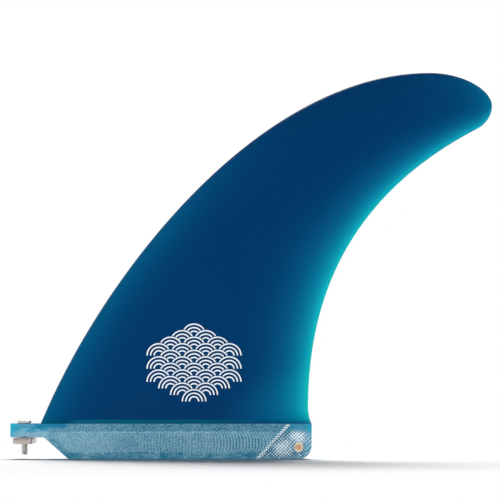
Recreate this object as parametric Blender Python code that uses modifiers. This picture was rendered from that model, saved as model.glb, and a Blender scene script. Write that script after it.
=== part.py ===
"""Longboard centre fin: a foiled glass-fibre blade on a box tab, with heel pin, clamp screw and clamp plate.

Units are metres and +Z is up. +X runs from the screw end towards the heel, and the blade rakes that way.
The fin is symmetric about Y = 0. The origin is the middle of the tab's flat underside, where the fin stands.
"""

import math

import bmesh
import bpy
from mathutils import Matrix, Vector

OBJECT_NAME = "longboard_fin"

# Room left between pieces that touch on the real fin
SEAT_GAP = 0.0003

# Tab that drops into the board's box
TAB_HEIGHT = 0.0206
TAB_THICKNESS = 0.0094
TAB_EDGE_ROUND = 0.0004
TONGUE_FRONT_X = -0.1002
TONGUE_DEPTH = 0.0079
RAMP_TOP_X = -0.0807
RAMP_FOOT_X = -0.0665
RAMP_TOP_RADIUS = 0.0020
RAMP_FOOT_RADIUS = 0.0040
HEEL_END_X = 0.0745
HEEL_RADIUS = 0.0080
CORNER_STEPS = 6

# Core plies that run up out of the tab into the blade
CORE_FRONT_X = -0.0600
CORE_REAR_X = 0.0300
CORE_THICKNESS = 0.0030
CORE_RISE = 0.0150

# Blade outline, as Bezier points in the X-Z plane from the root to the tip
BLADE_ROOT_Z = TAB_HEIGHT + SEAT_GAP
BLADE_TIP = (0.1793, 0.2050)
LEADING_EDGE = (
    ((-0.0828, BLADE_ROOT_Z), (-0.0466, 0.1079), (0.0444, 0.2242), (0.1431, 0.2242)),
    ((0.1431, 0.2242), (0.1631, 0.2242), (0.1793, 0.2140), BLADE_TIP),
)
TRAILING_EDGE = (
    ((0.0725, BLADE_ROOT_Z), (0.0723, 0.0570), (0.0725, 0.1406), (0.1701, 0.1914)),
    ((0.1701, 0.1914), (0.1749, 0.1937), (0.1793, 0.1985), BLADE_TIP),
)

# Blade foil: a flat panel, round and eased at the leading edge and tapered to the trailing edge
BLADE_THICKNESS = 0.0110
TIP_THINNING = 0.50
TIP_ROUNDING_POWER = 6
LEADING_NOSE = 0.0030
LEADING_NOSE_SHARE = 0.55
LEADING_ROUND = 0.0350
LEADING_ROUND_SHARE = 0.33
TRAILING_TAPER = 0.0550
TRAILING_TAPER_SHARE = 0.55
TRAILING_TAPER_POWER = 2.5
EDGE_THICKNESS = 0.0010
EDGE_POWER = 12
ROOT_LIP_HEIGHT = 0.0028
ROOT_FLARE_HEIGHT = 0.0045
HEEL_FLARE = 0.0015
HEEL_FLARE_HEIGHT = 0.0100
BLADE_CHORD_STEPS = 26
BLADE_SPAN_STEPS = 38
CURVE_SAMPLES = 120

# Glass-cloth patches let into both sides of the heel
PATCH_FOOT_X = 0.0440
PATCH_HEAD_X = 0.0628
PATCH_THICKNESS = 0.0006

# Brass pin across the heel
PIN_X = 0.0670
PIN_Z = 0.0070
PIN_DIAMETER = 0.0032
PIN_LENGTH = 0.0127
PIN_CHAMFER = 0.0003

# Number 8 clamp screw, 32 threads to the inch
SCREW_X = -0.0922
SCREW_DIAMETER = 0.00417
SCREW_TIP_Z = 0.0027
SCREW_TIP_CHAMFER = 0.0005
SCREW_HEAD_DIAMETER = 0.0082
SCREW_HEAD_HEIGHT = 0.0026
SCREW_HEAD_RIM = 0.0009
SCREW_HEAD_STEPS = 8
SCREW_SLOT_WIDTH = 0.0010
SCREW_SLOT_DEPTH = 0.0012
SCREW_HOLE_DIAMETER = 0.0052

# Clamp plate on the screw, turned a little as it hangs
PLATE_LENGTH = 0.0101
PLATE_WIDTH = 0.0127
PLATE_THICKNESS = 0.0032
PLATE_EDGE_ROUND = 0.0004
PLATE_TURN = math.radians(-12.0)
PLATE_CLEARANCE = 0.0005
PLATE_HOLE_DIAMETER = 0.0048

ROUND_SIDES = 40
CUTTER_MARGIN = 0.0020


def clear_scene():
    for obj in list(bpy.data.objects):
        bpy.data.objects.remove(obj, do_unlink=True)


def make_collection(name):
    collection = bpy.data.collections.new(name)
    bpy.context.scene.collection.children.link(collection)
    return collection


def make_material(name, colour, roughness, metallic=0.0):
    material = bpy.data.materials.new(name)
    material.use_nodes = True
    shader = material.node_tree.nodes["Principled BSDF"]
    shader.inputs["Base Color"].default_value = (*colour, 1.0)
    shader.inputs["Roughness"].default_value = roughness
    shader.inputs["Metallic"].default_value = metallic
    return material


def object_from_bmesh(name, mesh_data, collection):
    mesh = bpy.data.meshes.new(name)
    mesh_data.to_mesh(mesh)
    mesh_data.free()
    obj = bpy.data.objects.new(name, mesh)
    collection.objects.link(obj)
    return obj


def finish_part(obj, material, sharp_degrees=35.0):
    obj.data.materials.clear()
    obj.data.materials.append(material)
    obj.data.shade_smooth()
    obj.data.set_sharp_from_angle(angle=math.radians(sharp_degrees))


def make_box(name, low, high, collection):
    box = bmesh.new()
    bmesh.ops.create_cube(box, size=1.0)
    size = Vector(high) - Vector(low)
    centre = (Vector(high) + Vector(low)) / 2
    bmesh.ops.transform(box, matrix=Matrix.Diagonal((*size, 1.0)), verts=box.verts)
    bmesh.ops.translate(box, vec=centre, verts=box.verts)
    return object_from_bmesh(name, box, collection)


def make_rod(name, diameter, length, collection):
    """A capped cylinder along Z, centred on its own origin."""
    rod = bmesh.new()
    bmesh.ops.create_cone(
        rod,
        cap_ends=True,
        segments=ROUND_SIDES,
        radius1=diameter / 2,
        radius2=diameter / 2,
        depth=length,
    )
    return object_from_bmesh(name, rod, collection)


def set_as_cutter(obj):
    obj.hide_render = True
    obj.display_type = "WIRE"


def add_boolean(obj, other, operation):
    modifier = obj.modifiers.new(f"{operation.lower()}_{other.name}", "BOOLEAN")
    modifier.operation = operation
    modifier.object = other
    modifier.solver = "EXACT"
    set_as_cutter(other)


def add_bevel(obj, width, segments=2):
    modifier = obj.modifiers.new("rounded_edges", "BEVEL")
    modifier.width = width
    modifier.segments = segments
    modifier.limit_method = "ANGLE"


def fillet(corner, before, after, radius):
    """Points of a round corner of that radius, between its two neighbouring corners."""
    corner = Vector(corner)
    to_before = (Vector(before) - corner).normalized()
    to_after = (Vector(after) - corner).normalized()
    half_angle = to_before.angle(to_after) / 2
    centre = corner + (to_before + to_after).normalized() * (radius / math.sin(half_angle))
    start = corner + to_before * (radius / math.tan(half_angle)) - centre
    end = corner + to_after * (radius / math.tan(half_angle)) - centre
    sweep = start.angle_signed(end)
    return [
        centre + Matrix.Rotation(-sweep * step / CORNER_STEPS, 2) @ start
        for step in range(CORNER_STEPS + 1)
    ]


def rounded_outline(corners):
    """Outline points from (x, z, radius) corners, with an arc at each corner that has a radius."""
    points = []
    for index, (x, z, radius) in enumerate(corners):
        before = corners[index - 1][:2]
        after = corners[(index + 1) % len(corners)][:2]
        if radius:
            points += fillet((x, z), before, after, radius)
        else:
            points.append(Vector((x, z)))
    return points


def circle_outline(x, z, diameter):
    angles = [2 * math.pi * step / ROUND_SIDES for step in range(ROUND_SIDES)]
    return [Vector((x + diameter / 2 * math.cos(a), z + diameter / 2 * math.sin(a))) for a in angles]


def make_plate_from_outlines(name, outlines, thickness, edge_round, collection):
    """A flat piece in the X-Z plane, of that thickness about Y = 0; outlines after the first are holes."""
    curve = bpy.data.curves.new(name, "CURVE")
    curve.dimensions = "2D"
    curve.fill_mode = "BOTH"
    curve.extrude = thickness / 2 - edge_round
    curve.bevel_depth = edge_round
    curve.bevel_resolution = 1
    curve.offset = -edge_round
    for outline in outlines:
        spline = curve.splines.new("POLY")
        spline.points.add(len(outline) - 1)
        spline.use_cyclic_u = True
        for point, place in zip(spline.points, outline):
            point.co = (place.x, place.y, 0.0, 1.0)
    drawn = bpy.data.objects.new(name, curve)
    collection.objects.link(drawn)
    drawn.rotation_euler = (math.pi / 2, 0.0, 0.0)
    return curve_to_mesh_object(drawn, collection)


def curve_to_mesh_object(drawn, collection):
    name = drawn.name
    bpy.context.view_layer.update()
    graph = bpy.context.evaluated_depsgraph_get()
    mesh = bpy.data.meshes.new_from_object(drawn.evaluated_get(graph))
    place = drawn.matrix_world.copy()
    bpy.data.objects.remove(drawn, do_unlink=True)
    weld = bmesh.new()
    weld.from_mesh(mesh)
    bmesh.ops.remove_doubles(weld, verts=weld.verts, dist=1e-6)
    bmesh.ops.recalc_face_normals(weld, faces=weld.faces)
    weld.to_mesh(mesh)
    weld.free()
    obj = bpy.data.objects.new(name, mesh)
    collection.objects.link(obj)
    obj.matrix_world = place
    return obj


def bezier_point(points, t):
    a, b, c, d = (Vector(p) for p in points)
    return a * (1 - t) ** 3 + b * 3 * t * (1 - t) ** 2 + c * 3 * t * t * (1 - t) + d * t**3


def sample_edge(segments):
    """Points along a chain of Bezier segments, with each point's share of the whole length."""
    points = [
        bezier_point(segment, step / CURVE_SAMPLES)
        for segment in segments
        for step in range(CURVE_SAMPLES + 1)
    ]
    travelled = [0.0]
    for last, point in zip(points, points[1:]):
        travelled.append(travelled[-1] + (point - last).length)
    return points, [length / travelled[-1] for length in travelled]


def point_at(edge, share):
    points, shares = edge
    for index in range(1, len(points)):
        if shares[index] >= share:
            step = shares[index] - shares[index - 1]
            along = (share - shares[index - 1]) / step if step else 0.0
            return points[index - 1].lerp(points[index], along)
    return points[-1]


def panel_shape(u, chord):
    """Share of the panel's thickness at chord share u, on a section of that chord."""
    nose_length = min(LEADING_NOSE, LEADING_ROUND_SHARE * chord)
    round_length = min(LEADING_ROUND, LEADING_ROUND_SHARE * chord)
    taper_length = min(TRAILING_TAPER, TRAILING_TAPER_SHARE * chord)
    before_nose_end = max(0.0, 1 - u * chord / nose_length)
    before_full = max(0.0, 1 - u * chord / round_length)
    into_taper = max(0.0, 1 - (1 - u) * chord / taper_length)
    nose = math.sqrt(1 - before_nose_end**2)
    fullness = 1 - (1 - LEADING_NOSE_SHARE) * before_full**2
    return nose * fullness * (1 - into_taper**TRAILING_TAPER_POWER)


def blunt_shape(u):
    """A nearly flat shape across the chord that rounds down to 0 at both edges."""
    return (1 - abs(2 * u - 1) ** EDGE_POWER) ** (1 / EDGE_POWER)


def blade_half_thickness(u, v, chord, height):
    """Half thickness at chord share u and span share v, at that height above the blade's root."""
    tip_round = math.sqrt(max(0.0, 1 - v**TIP_ROUNDING_POWER))
    panel = BLADE_THICKNESS / 2 * (1 - TIP_THINNING * v * v) * panel_shape(u, chord)
    foil = max(panel, EDGE_THICKNESS / 2 * blunt_shape(u)) * tip_round
    foot = TAB_THICKNESS / 2 * blunt_shape(u)
    if foil > foot:
        below = min(1.0, max(0.0, 1 - height / ROOT_LIP_HEIGHT))
        return foot + (foil - foot) * math.sqrt(1 - below**2)
    below = min(1.0, max(0.0, 1 - height / ROOT_FLARE_HEIGHT))
    return foil + (foot - foil) * below**2


def shape_blade_vertex(vertex, edges):
    """Moves a vertex of the unit grid onto the blade's +Y side."""
    u = (1 - math.cos(math.pi * (vertex.co.x + 0.5))) / 2
    s = vertex.co.y + 0.5
    v = s * s * (3 - 2 * s)
    front = point_at(edges[0], v)
    rear = point_at(edges[1], v)
    heel_share = max(0.0, 1 - (rear.y - BLADE_ROOT_Z) / HEEL_FLARE_HEIGHT)
    rear.x += HEEL_FLARE * heel_share**2
    place = front.lerp(rear, u)
    chord = (rear - front).length
    on_edge = u < 1e-6 or u > 1 - 1e-6 or chord < 1e-6
    half = 0.0 if on_edge else blade_half_thickness(u, v, chord, place.y - BLADE_ROOT_Z)
    vertex.co = (place.x, half, place.y)


def make_blade(collection, cutters, material):
    half = bmesh.new()
    bmesh.ops.create_grid(half, x_segments=BLADE_CHORD_STEPS, y_segments=BLADE_SPAN_STEPS, size=0.5)
    root_edges = [e for e in half.edges if all(abs(v.co.y + 0.5) < 1e-6 for v in e.verts)]
    edges = (sample_edge(LEADING_EDGE), sample_edge(TRAILING_EDGE))
    for vertex in half.verts:
        shape_blade_vertex(vertex, edges)
    closing = bmesh.ops.extrude_edge_only(half, edges=root_edges)
    for item in closing["geom"]:
        if isinstance(item, bmesh.types.BMVert):
            item.co.y = 0.0
    bmesh.ops.remove_doubles(half, verts=half.verts, dist=1e-6)
    bmesh.ops.recalc_face_normals(half, faces=half.faces)
    blade = object_from_bmesh("blade", half, collection)
    mirror = blade.modifiers.new("both_sides", "MIRROR")
    mirror.use_axis = (False, True, False)
    mirror.merge_threshold = 1e-6
    slot = make_box(
        "core_slot",
        (CORE_FRONT_X - SEAT_GAP, -CORE_THICKNESS / 2 - SEAT_GAP, BLADE_ROOT_Z - CUTTER_MARGIN),
        (CORE_REAR_X + SEAT_GAP, CORE_THICKNESS / 2 + SEAT_GAP, TAB_HEIGHT + CORE_RISE + SEAT_GAP),
        cutters,
    )
    add_boolean(blade, slot, "DIFFERENCE")
    finish_part(blade, material)
    return blade


def tab_outline():
    return rounded_outline(
        (
            (TONGUE_FRONT_X, TAB_HEIGHT, 0.0),
            (TONGUE_FRONT_X, TAB_HEIGHT - TONGUE_DEPTH, 0.0),
            (RAMP_TOP_X, TAB_HEIGHT - TONGUE_DEPTH, RAMP_TOP_RADIUS),
            (RAMP_FOOT_X, 0.0, RAMP_FOOT_RADIUS),
            (HEEL_END_X, 0.0, HEEL_RADIUS),
            (HEEL_END_X, TAB_HEIGHT, 0.0),
        )
    )


def patch_outline(gap, overrun):
    """Heel patch outline; gap widens it at its slanted edge, and overrun past the tab's edges."""
    lean = (PATCH_HEAD_X - PATCH_FOOT_X) / TAB_HEIGHT
    widening = gap * math.hypot(1.0, lean)
    return rounded_outline(
        (
            (PATCH_FOOT_X - widening - lean * overrun, -overrun, 0.0),
            (HEEL_END_X + overrun, -overrun, 0.0 if overrun else HEEL_RADIUS),
            (HEEL_END_X + overrun, TAB_HEIGHT + overrun, 0.0),
            (PATCH_HEAD_X - widening + lean * overrun, TAB_HEIGHT + overrun, 0.0),
        )
    )


def make_base_tab(collection, cutters, material):
    hole_diameter = PIN_DIAMETER + 2 * SEAT_GAP
    tab = make_plate_from_outlines(
        "base_tab",
        (tab_outline(), circle_outline(PIN_X, PIN_Z, hole_diameter)),
        TAB_THICKNESS,
        TAB_EDGE_ROUND,
        collection,
    )
    screw_hole = make_rod("screw_hole", SCREW_HOLE_DIAMETER, TONGUE_DEPTH + 2 * CUTTER_MARGIN, cutters)
    screw_hole.location = (SCREW_X, 0.0, TAB_HEIGHT - TONGUE_DEPTH / 2)
    add_boolean(tab, screw_hole, "DIFFERENCE")
    recess_depth = PATCH_THICKNESS + SEAT_GAP
    for side_name, side in (("left", -1), ("right", 1)):
        recess = make_plate_from_outlines(
            f"patch_recess_{side_name}",
            (patch_outline(SEAT_GAP, CUTTER_MARGIN),),
            2 * recess_depth,
            0.0,
            cutters,
        )
        recess.location.y = side * TAB_THICKNESS / 2
        add_boolean(tab, recess, "DIFFERENCE")
    core = make_box(
        "core_plies",
        (CORE_FRONT_X, -CORE_THICKNESS / 2, TAB_HEIGHT - CUTTER_MARGIN),
        (CORE_REAR_X, CORE_THICKNESS / 2, TAB_HEIGHT + CORE_RISE),
        cutters,
    )
    add_boolean(tab, core, "UNION")
    finish_part(tab, material)
    return tab


def make_heel_patch(side_name, side, collection, material):
    hole_diameter = PIN_DIAMETER + 2 * SEAT_GAP
    patch = make_plate_from_outlines(
        f"heel_patch_{side_name}",
        (patch_outline(0.0, 0.0), circle_outline(PIN_X, PIN_Z, hole_diameter)),
        PATCH_THICKNESS,
        0.0,
        collection,
    )
    patch.location.y = side * (TAB_THICKNESS - PATCH_THICKNESS) / 2
    finish_part(patch, material)
    return patch


def make_heel_pin(collection, material):
    pin = make_rod("heel_pin", PIN_DIAMETER, PIN_LENGTH, collection)
    pin.location = (PIN_X, 0.0, PIN_Z)
    pin.rotation_euler = (math.pi / 2, 0.0, 0.0)
    add_bevel(pin, PIN_CHAMFER)
    finish_part(pin, material)
    return pin


def screw_profile():
    """Half section of the screw in X-Z, from the crown of the head down to the tip, with Z from the seat."""
    head_radius = SCREW_HEAD_DIAMETER / 2
    crown = SCREW_HEAD_HEIGHT - SCREW_HEAD_RIM
    shank_radius = SCREW_DIAMETER / 2
    tip = SCREW_TIP_Z - (TAB_HEIGHT + SEAT_GAP)
    angles = [math.pi / 2 * step / SCREW_HEAD_STEPS for step in range(SCREW_HEAD_STEPS + 1)]
    dome = [(head_radius * math.sin(a), SCREW_HEAD_RIM + crown * math.cos(a)) for a in angles]
    return [
        *dome,
        (head_radius, 0.0),
        (shank_radius, 0.0),
        (shank_radius, tip + SCREW_TIP_CHAMFER),
        (shank_radius - SCREW_TIP_CHAMFER, tip),
        (0.0, tip),
    ]


def make_clamp_screw(collection, cutters, material):
    profile = bmesh.new()
    points = [profile.verts.new((x, 0.0, z)) for x, z in screw_profile()]
    for first, second in zip(points, points[1:]):
        profile.edges.new((first, second))
    screw = object_from_bmesh("clamp_screw", profile, collection)
    screw.location = (SCREW_X, 0.0, TAB_HEIGHT + SEAT_GAP)
    turned = screw.modifiers.new("turned", "SCREW")
    turned.axis = "Z"
    turned.steps = ROUND_SIDES
    turned.render_steps = ROUND_SIDES
    turned.use_merge_vertices = True
    turned.merge_threshold = 1e-6
    head_top = TAB_HEIGHT + SEAT_GAP + SCREW_HEAD_HEIGHT
    slot = make_box(
        "screw_slot",
        (SCREW_X - SCREW_SLOT_WIDTH / 2, -SCREW_HEAD_DIAMETER, head_top - SCREW_SLOT_DEPTH),
        (SCREW_X + SCREW_SLOT_WIDTH / 2, SCREW_HEAD_DIAMETER, head_top + CUTTER_MARGIN),
        cutters,
    )
    add_boolean(screw, slot, "DIFFERENCE")
    finish_part(screw, material)
    return screw


def make_clamp_plate(collection, cutters, material):
    half = (PLATE_LENGTH / 2, PLATE_WIDTH / 2, PLATE_THICKNESS / 2)
    plate = make_box("clamp_plate", [-h for h in half], half, collection)
    plate_top = TAB_HEIGHT - TONGUE_DEPTH - PLATE_CLEARANCE
    plate.location = (SCREW_X, 0.0, plate_top - PLATE_THICKNESS / 2)
    plate.rotation_euler = (0.0, 0.0, PLATE_TURN)
    add_bevel(plate, PLATE_EDGE_ROUND)
    hole = make_rod("plate_hole", PLATE_HOLE_DIAMETER, PLATE_THICKNESS + 2 * CUTTER_MARGIN, cutters)
    hole.location = plate.location
    add_boolean(plate, hole, "DIFFERENCE")
    finish_part(plate, material)
    return plate


def main():
    clear_scene()
    collection = make_collection(OBJECT_NAME)
    cutters = make_collection("cutters")
    tinted_laminate = make_material("tinted_laminate", (0.0, 0.036, 0.120), 0.30)
    sanded_laminate = make_material("sanded_laminate", (0.110, 0.260, 0.370), 0.70)
    glass_cloth = make_material("glass_cloth", (0.360, 0.520, 0.600), 0.65)
    brass = make_material("brass", (0.600, 0.300, 0.130), 0.35, 1.0)
    stainless = make_material("stainless", (0.560, 0.540, 0.520), 0.25, 1.0)
    make_blade(collection, cutters, tinted_laminate)
    make_base_tab(collection, cutters, sanded_laminate)
    for side_name, side in (("left", -1), ("right", 1)):
        make_heel_patch(side_name, side, collection, glass_cloth)
    make_heel_pin(collection, brass)
    make_clamp_screw(collection, cutters, stainless)
    make_clamp_plate(collection, cutters, stainless)


main()
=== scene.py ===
"""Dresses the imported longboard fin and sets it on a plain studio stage.

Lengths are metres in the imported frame: +X runs from the screw end to the heel, +Y across the fin, +Z up.
"""

import math

import bpy
from bpy.props import FloatProperty, FloatVectorProperty, IntProperty, PointerProperty
from bpy.types import Operator, Panel, PropertyGroup
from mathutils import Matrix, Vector


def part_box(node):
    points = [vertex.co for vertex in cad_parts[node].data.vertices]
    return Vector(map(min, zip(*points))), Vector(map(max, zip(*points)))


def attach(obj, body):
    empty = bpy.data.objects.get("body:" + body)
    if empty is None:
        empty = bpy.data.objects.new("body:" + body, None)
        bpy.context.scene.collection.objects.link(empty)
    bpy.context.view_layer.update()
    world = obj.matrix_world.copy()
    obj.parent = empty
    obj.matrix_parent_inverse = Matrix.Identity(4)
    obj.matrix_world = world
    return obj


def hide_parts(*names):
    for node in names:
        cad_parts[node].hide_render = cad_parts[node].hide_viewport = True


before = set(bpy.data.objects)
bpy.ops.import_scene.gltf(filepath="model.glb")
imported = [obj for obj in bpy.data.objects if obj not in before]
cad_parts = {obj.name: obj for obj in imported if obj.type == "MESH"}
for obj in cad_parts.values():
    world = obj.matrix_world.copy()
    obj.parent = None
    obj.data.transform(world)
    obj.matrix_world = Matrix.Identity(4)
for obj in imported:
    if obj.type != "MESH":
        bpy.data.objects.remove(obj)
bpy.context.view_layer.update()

bl_info = {
    "name": "Longboard Fin Dresser",
    "version": (1, 0, 0),
    "blender": (4, 5, 0),
    "location": "3D View > Sidebar > Fin",
    "description": "Models the blade, tab and clamp hardware of a longboard fin on its packed frame",
    "category": "Object",
}

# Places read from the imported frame
_, BLADE_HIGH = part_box("blade")
TAB_LOW, TAB_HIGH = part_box("base_tab")
_, PATCH_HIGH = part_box("heel_patch_left")
PIN_LOW, PIN_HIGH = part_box("heel_pin")
SCREW_LOW, SCREW_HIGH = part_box("clamp_screw")
PLATE_LOW, PLATE_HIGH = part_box("clamp_plate")
TAB_TOP = PATCH_HIGH.z
TAB_HALF = TAB_HIGH.y
HEEL_X = TAB_HIGH.x
PIN_CENTRE = (PIN_LOW + PIN_HIGH) / 2
PIN_RADIUS = PIN_HIGH.x - PIN_CENTRE.x
SCREW_X = (SCREW_LOW.x + SCREW_HIGH.x) / 2
SIDES = (("left", -1), ("right", 1))
ACROSS = (math.pi / 2, 0.0, 0.0)
MM = 1000

# Gaps, the reach of cutting shapes, and how near places and directions are to count as one
BOND_GAP = 2e-5
RECESS_GAP = 5e-5
CLEARANCE = 1e-4
CUTTER_LENGTH = 0.03
OVERSHOOT = 0.005
CUT_PRECISION = 1e-7
TOUCH = 1e-6
MERGE_DISTANCE = 3e-6
ALIGNED = 0.99
ROOT_Z = TAB_TOP + BOND_GAP

# Blade outline, as Bezier points in the X-Z plane from the root to the tip
BLADE_TIP = (BLADE_HIGH.x, 0.2050)
LEADING_EDGE = (
    ((-0.0828, ROOT_Z), (-0.0466, 0.1079), (0.0444, 0.2242), (0.1431, 0.2242)),
    ((0.1431, 0.2242), (0.1631, 0.2242), (0.1793, 0.2140), BLADE_TIP),
)
TRAILING_EDGE = (
    ((0.0725, ROOT_Z), (0.0723, 0.0570), (0.0725, 0.1406), (0.1701, 0.1914)),
    ((0.1701, 0.1914), (0.1749, 0.1937), (0.1793, 0.1985), BLADE_TIP),
)
EDGE_SAMPLES = 400

# Blade section: its curves, its most on a short chord, the widths of the painted shade that darkens its edges
# and root, and its reach at the heel
TAPER_POWER = 2.5
BLUNTNESS = 12
FRONT_SHARE = 0.33
REAR_SHARE = 0.55
FRONT_PAINTED_SHADE_WIDTH = 0.0012
REAR_PAINTED_SHADE_WIDTH = 0.0008
FOOT_PAINTED_SHADE_HEIGHT = 0.0036
HEEL_FLARE = 0.0019
HEEL_FLARE_HEIGHT = 0.010

# Wave scales in each row of the print, from the top row down, and where they are drawn at first
PRINT_ROWS = (1, 2, 3, 4, 3, 4, 3, 4, 3, 2, 1)
PRINT_RINGS = (1.0, 0.70, 0.40)
RING_STEPS = 160
PRINT_START_Y = -0.02

# Woven edges and pin beds on the heel
STITCH_RADII = (0.00066, 0.00016, 0.00040)
STITCH_SLANT = math.radians(38)
STITCH_RISE = 0.00003
STITCH_ROW = 0.26
BAND_SINK = 0.0001
BAND_RISE = 0.00005
BED_SINK = 0.0001
BED_THICKNESS = 0.0003
THIN_EDGE = 0.00004

# Hardware details, and the stitches or thread turns made past each end before the trim
PIN_CHAMFER = 0.0003
PIN_RIM = 0.0007
MARK_SLOPE = 0.0003
MARK_DEPTH = 0.0002
HEAD_EDGE = 0.00015
PLATE_EDGE = 0.0003
THREAD_RUN_IN = 0.0004
THREAD_STEPS = 40
SPARE = 2

# Camera and floor
SENSOR_MM = 36.0
FLOOR_COLOUR = (0.95, 0.95, 0.95, 1.0)
FLOOR_SIZE = 12
FLOOR_DROP = 0.0001


def srgb(red, green, blue):
    """The linear colour that shows as these display levels, 0 to 255."""
    levels = [level / 255 for level in (red, green, blue)]
    return tuple(level / 12.92 if level <= 0.04045 else ((level + 0.055) / 1.055) ** 2.4 for level in levels)


def length(description, default):
    return FloatProperty(description=description, default=default, unit="LENGTH", precision=5)


def share(description, default):
    return FloatProperty(description=description, default=default, min=0.0, max=1.0)


def colour(description, default):
    return FloatVectorProperty(
        description=description, default=default, subtype="COLOR", size=3, min=0.0, max=1.0
    )


class BladeSettings(PropertyGroup):
    thickness: length("Panel thickness of the blade", 0.0110)
    edge_thickness: length("Thickness left along the trailing edge", 0.0010)
    nose: length("Depth of the round nose along the leading edge", 0.0030)
    nose_share: share("Share of the thickness that the nose reaches", 0.55)
    ease: length("Depth of the easing behind the nose", 0.0350)
    taper: length("Depth of the taper along the trailing edge", 0.0550)
    lip: length("Height of the rounded lip above the tab", 0.0028)
    flare: length("Height over which a thin edge flares to the tab", 0.0070)
    tip_thinning: share("Share of the thickness lost at the tip", 0.50)
    tip_fade: share("Share of the tint lost at the tip", 0.66)
    chord_steps: IntProperty(description="Mesh steps across the blade", default=110)
    span_steps: IntProperty(description="Mesh steps along the blade", default=190)
    edge_tint: colour("Colour of a thin edge of resin", (0.0080, 0.5000, 0.5400))
    deep_tint: colour("Colour of the resin at full thickness", (0.00001, 0.0345, 0.1200))


class PrintSettings(PropertyGroup):
    centre_x: length("Place of the print along the fin", 0.0063)
    centre_z: length("Height of the middle of the print", 0.0560)
    scale_radius: length("Radius of one wave scale", 0.0068)
    row_step: length("Drop from one row of scales to the next", 0.0038)
    line: length("Width of a printed line", 0.00075)
    ink_depth: length("How far the ink stands off the blade", 0.00003)
    ink: colour("Colour of the print", srgb(236, 243, 246))


class TabSettings(PropertyGroup):
    edge_round: length("Radius of the tab's side edges below the blade", 0.0004)
    tongue_depth: length("Height of the tongue at the screw end", 0.0079)
    ramp_top_x: length("Where the ramp leaves the tongue", -0.0807)
    ramp_foot_x: length("Where the ramp meets the underside", -0.0665)
    ramp_top_radius: length("Fillet between the tongue and the ramp", 0.0020)
    ramp_foot_radius: length("Rounding between the ramp and the underside", 0.0040)
    heel_radius: length("Radius of the rear bottom corner", 0.0080)
    screw_hole: length("Diameter of the hole through the tongue", 0.0052)
    patch_foot_x: length("Foot of the heel patch's slanted edge", 0.0440)
    patch_head_x: length("Head of the heel patch's slanted edge", 0.0628)
    patch_depth: length("Depth of the recess that holds a heel patch", 0.0009)
    selvage_width: length("Width of the woven edge of a heel patch", 0.0019)
    stitch_pitch: length("Step between the stitches of the woven edge", 0.00175)
    pin_bed: length("Radius of the resin bed round the heel pin", 0.0027)
    thread: colour("Glass threads in the sanded laminate", srgb(168, 208, 222))
    gap: colour("Tinted resin between the threads", srgb(16, 100, 131))
    band: colour("Tinted resin along the tab's lower edge", srgb(18, 106, 136))
    tongue: colour("Resin along the top of the tongue", srgb(34, 134, 166))
    gloss: colour("Glossy resin that runs down from the blade", srgb(0, 110, 148))
    end: colour("Thin resin at the tongue's end and the heel's corner", srgb(8, 154, 184))
    cloth: colour("Bare glass threads at the heel", srgb(226, 243, 249))
    bed: colour("Resin bed round the heel pin", srgb(238, 222, 196))


class HardwareSettings(PropertyGroup):
    thread_pitch: length("Rise of the screw thread in one turn", 0.00079375)
    thread_depth: length("Height of the screw thread", 0.00048)
    shank_diameter: length("Outer diameter of the screw thread", 0.00417)
    tip_chamfer: length("Chamfer at the screw's end", 0.0006)
    head_height: length("Height of the screw head", 0.0026)
    head_rim: length("Straight rim under the dome of the head", 0.0009)
    slot_width: length("Width of the driver slot", 0.0010)
    slot_depth: length("Depth of the driver slot", 0.0012)
    plate_length: length("Size of the clamp plate along the fin", 0.0114)
    plate_width: length("Size of the clamp plate across the fin", 0.0127)
    plate_round: length("Radius of the plate's upright corners", 0.0012)
    plate_turn: FloatProperty(
        description="How far the plate hangs turned", default=math.radians(-12), subtype="ANGLE"
    )
    steel: colour("Stainless screw", srgb(222, 218, 213))
    plate_steel: colour("Dull stainless plate", srgb(206, 192, 186))
    brass: colour("Dulled heel pin", srgb(226, 178, 146))


class StageSettings(PropertyGroup):
    view_width: length("Width that the camera sees at the fin", 0.290)
    view_x: length("Place along the fin at the middle of the view", 0.03874)
    view_y: length("Place across the fin at which the view has its width", -0.0035)
    view_z: length("Height at the middle of the view", 0.12134)
    camera_distance: length("Distance from the camera to the fin", 2.200)
    ambient: share("Strength of the light from all around", 0.03)


# Shader maths


class Value:
    """A number in a node tree; arithmetic on it adds Math nodes."""

    def __init__(self, finish, socket):
        self.finish = finish
        self.socket = socket

    def math(self, operation, first, second=0.0):
        return self.finish.node("ShaderNodeMath", {"operation": operation}, {0: first, 1: second})

    def __add__(self, other):
        return self.math("ADD", self, other)

    __radd__ = __add__

    def __sub__(self, other):
        return self.math("SUBTRACT", self, other)

    def __rsub__(self, other):
        return self.math("SUBTRACT", other, self)

    def __mul__(self, other):
        return self.math("MULTIPLY", self, other)

    __rmul__ = __mul__

    def __pow__(self, other):
        return self.math("POWER", self, other)

    def __rpow__(self, other):
        return self.math("POWER", other, self)

    def __abs__(self):
        return self.math("ABSOLUTE", self)

    def sine(self):
        return self.math("SINE", self)

    def most(self, other):
        return self.math("MAXIMUM", self, other)

    def smooth(self, low, high):
        """0 below low, 1 above high and a smooth step between them."""
        inputs = {"Value": self, "From Min": low, "From Max": high}
        return self.finish.node("ShaderNodeMapRange", {"interpolation_type": "SMOOTHSTEP"}, inputs)


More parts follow.
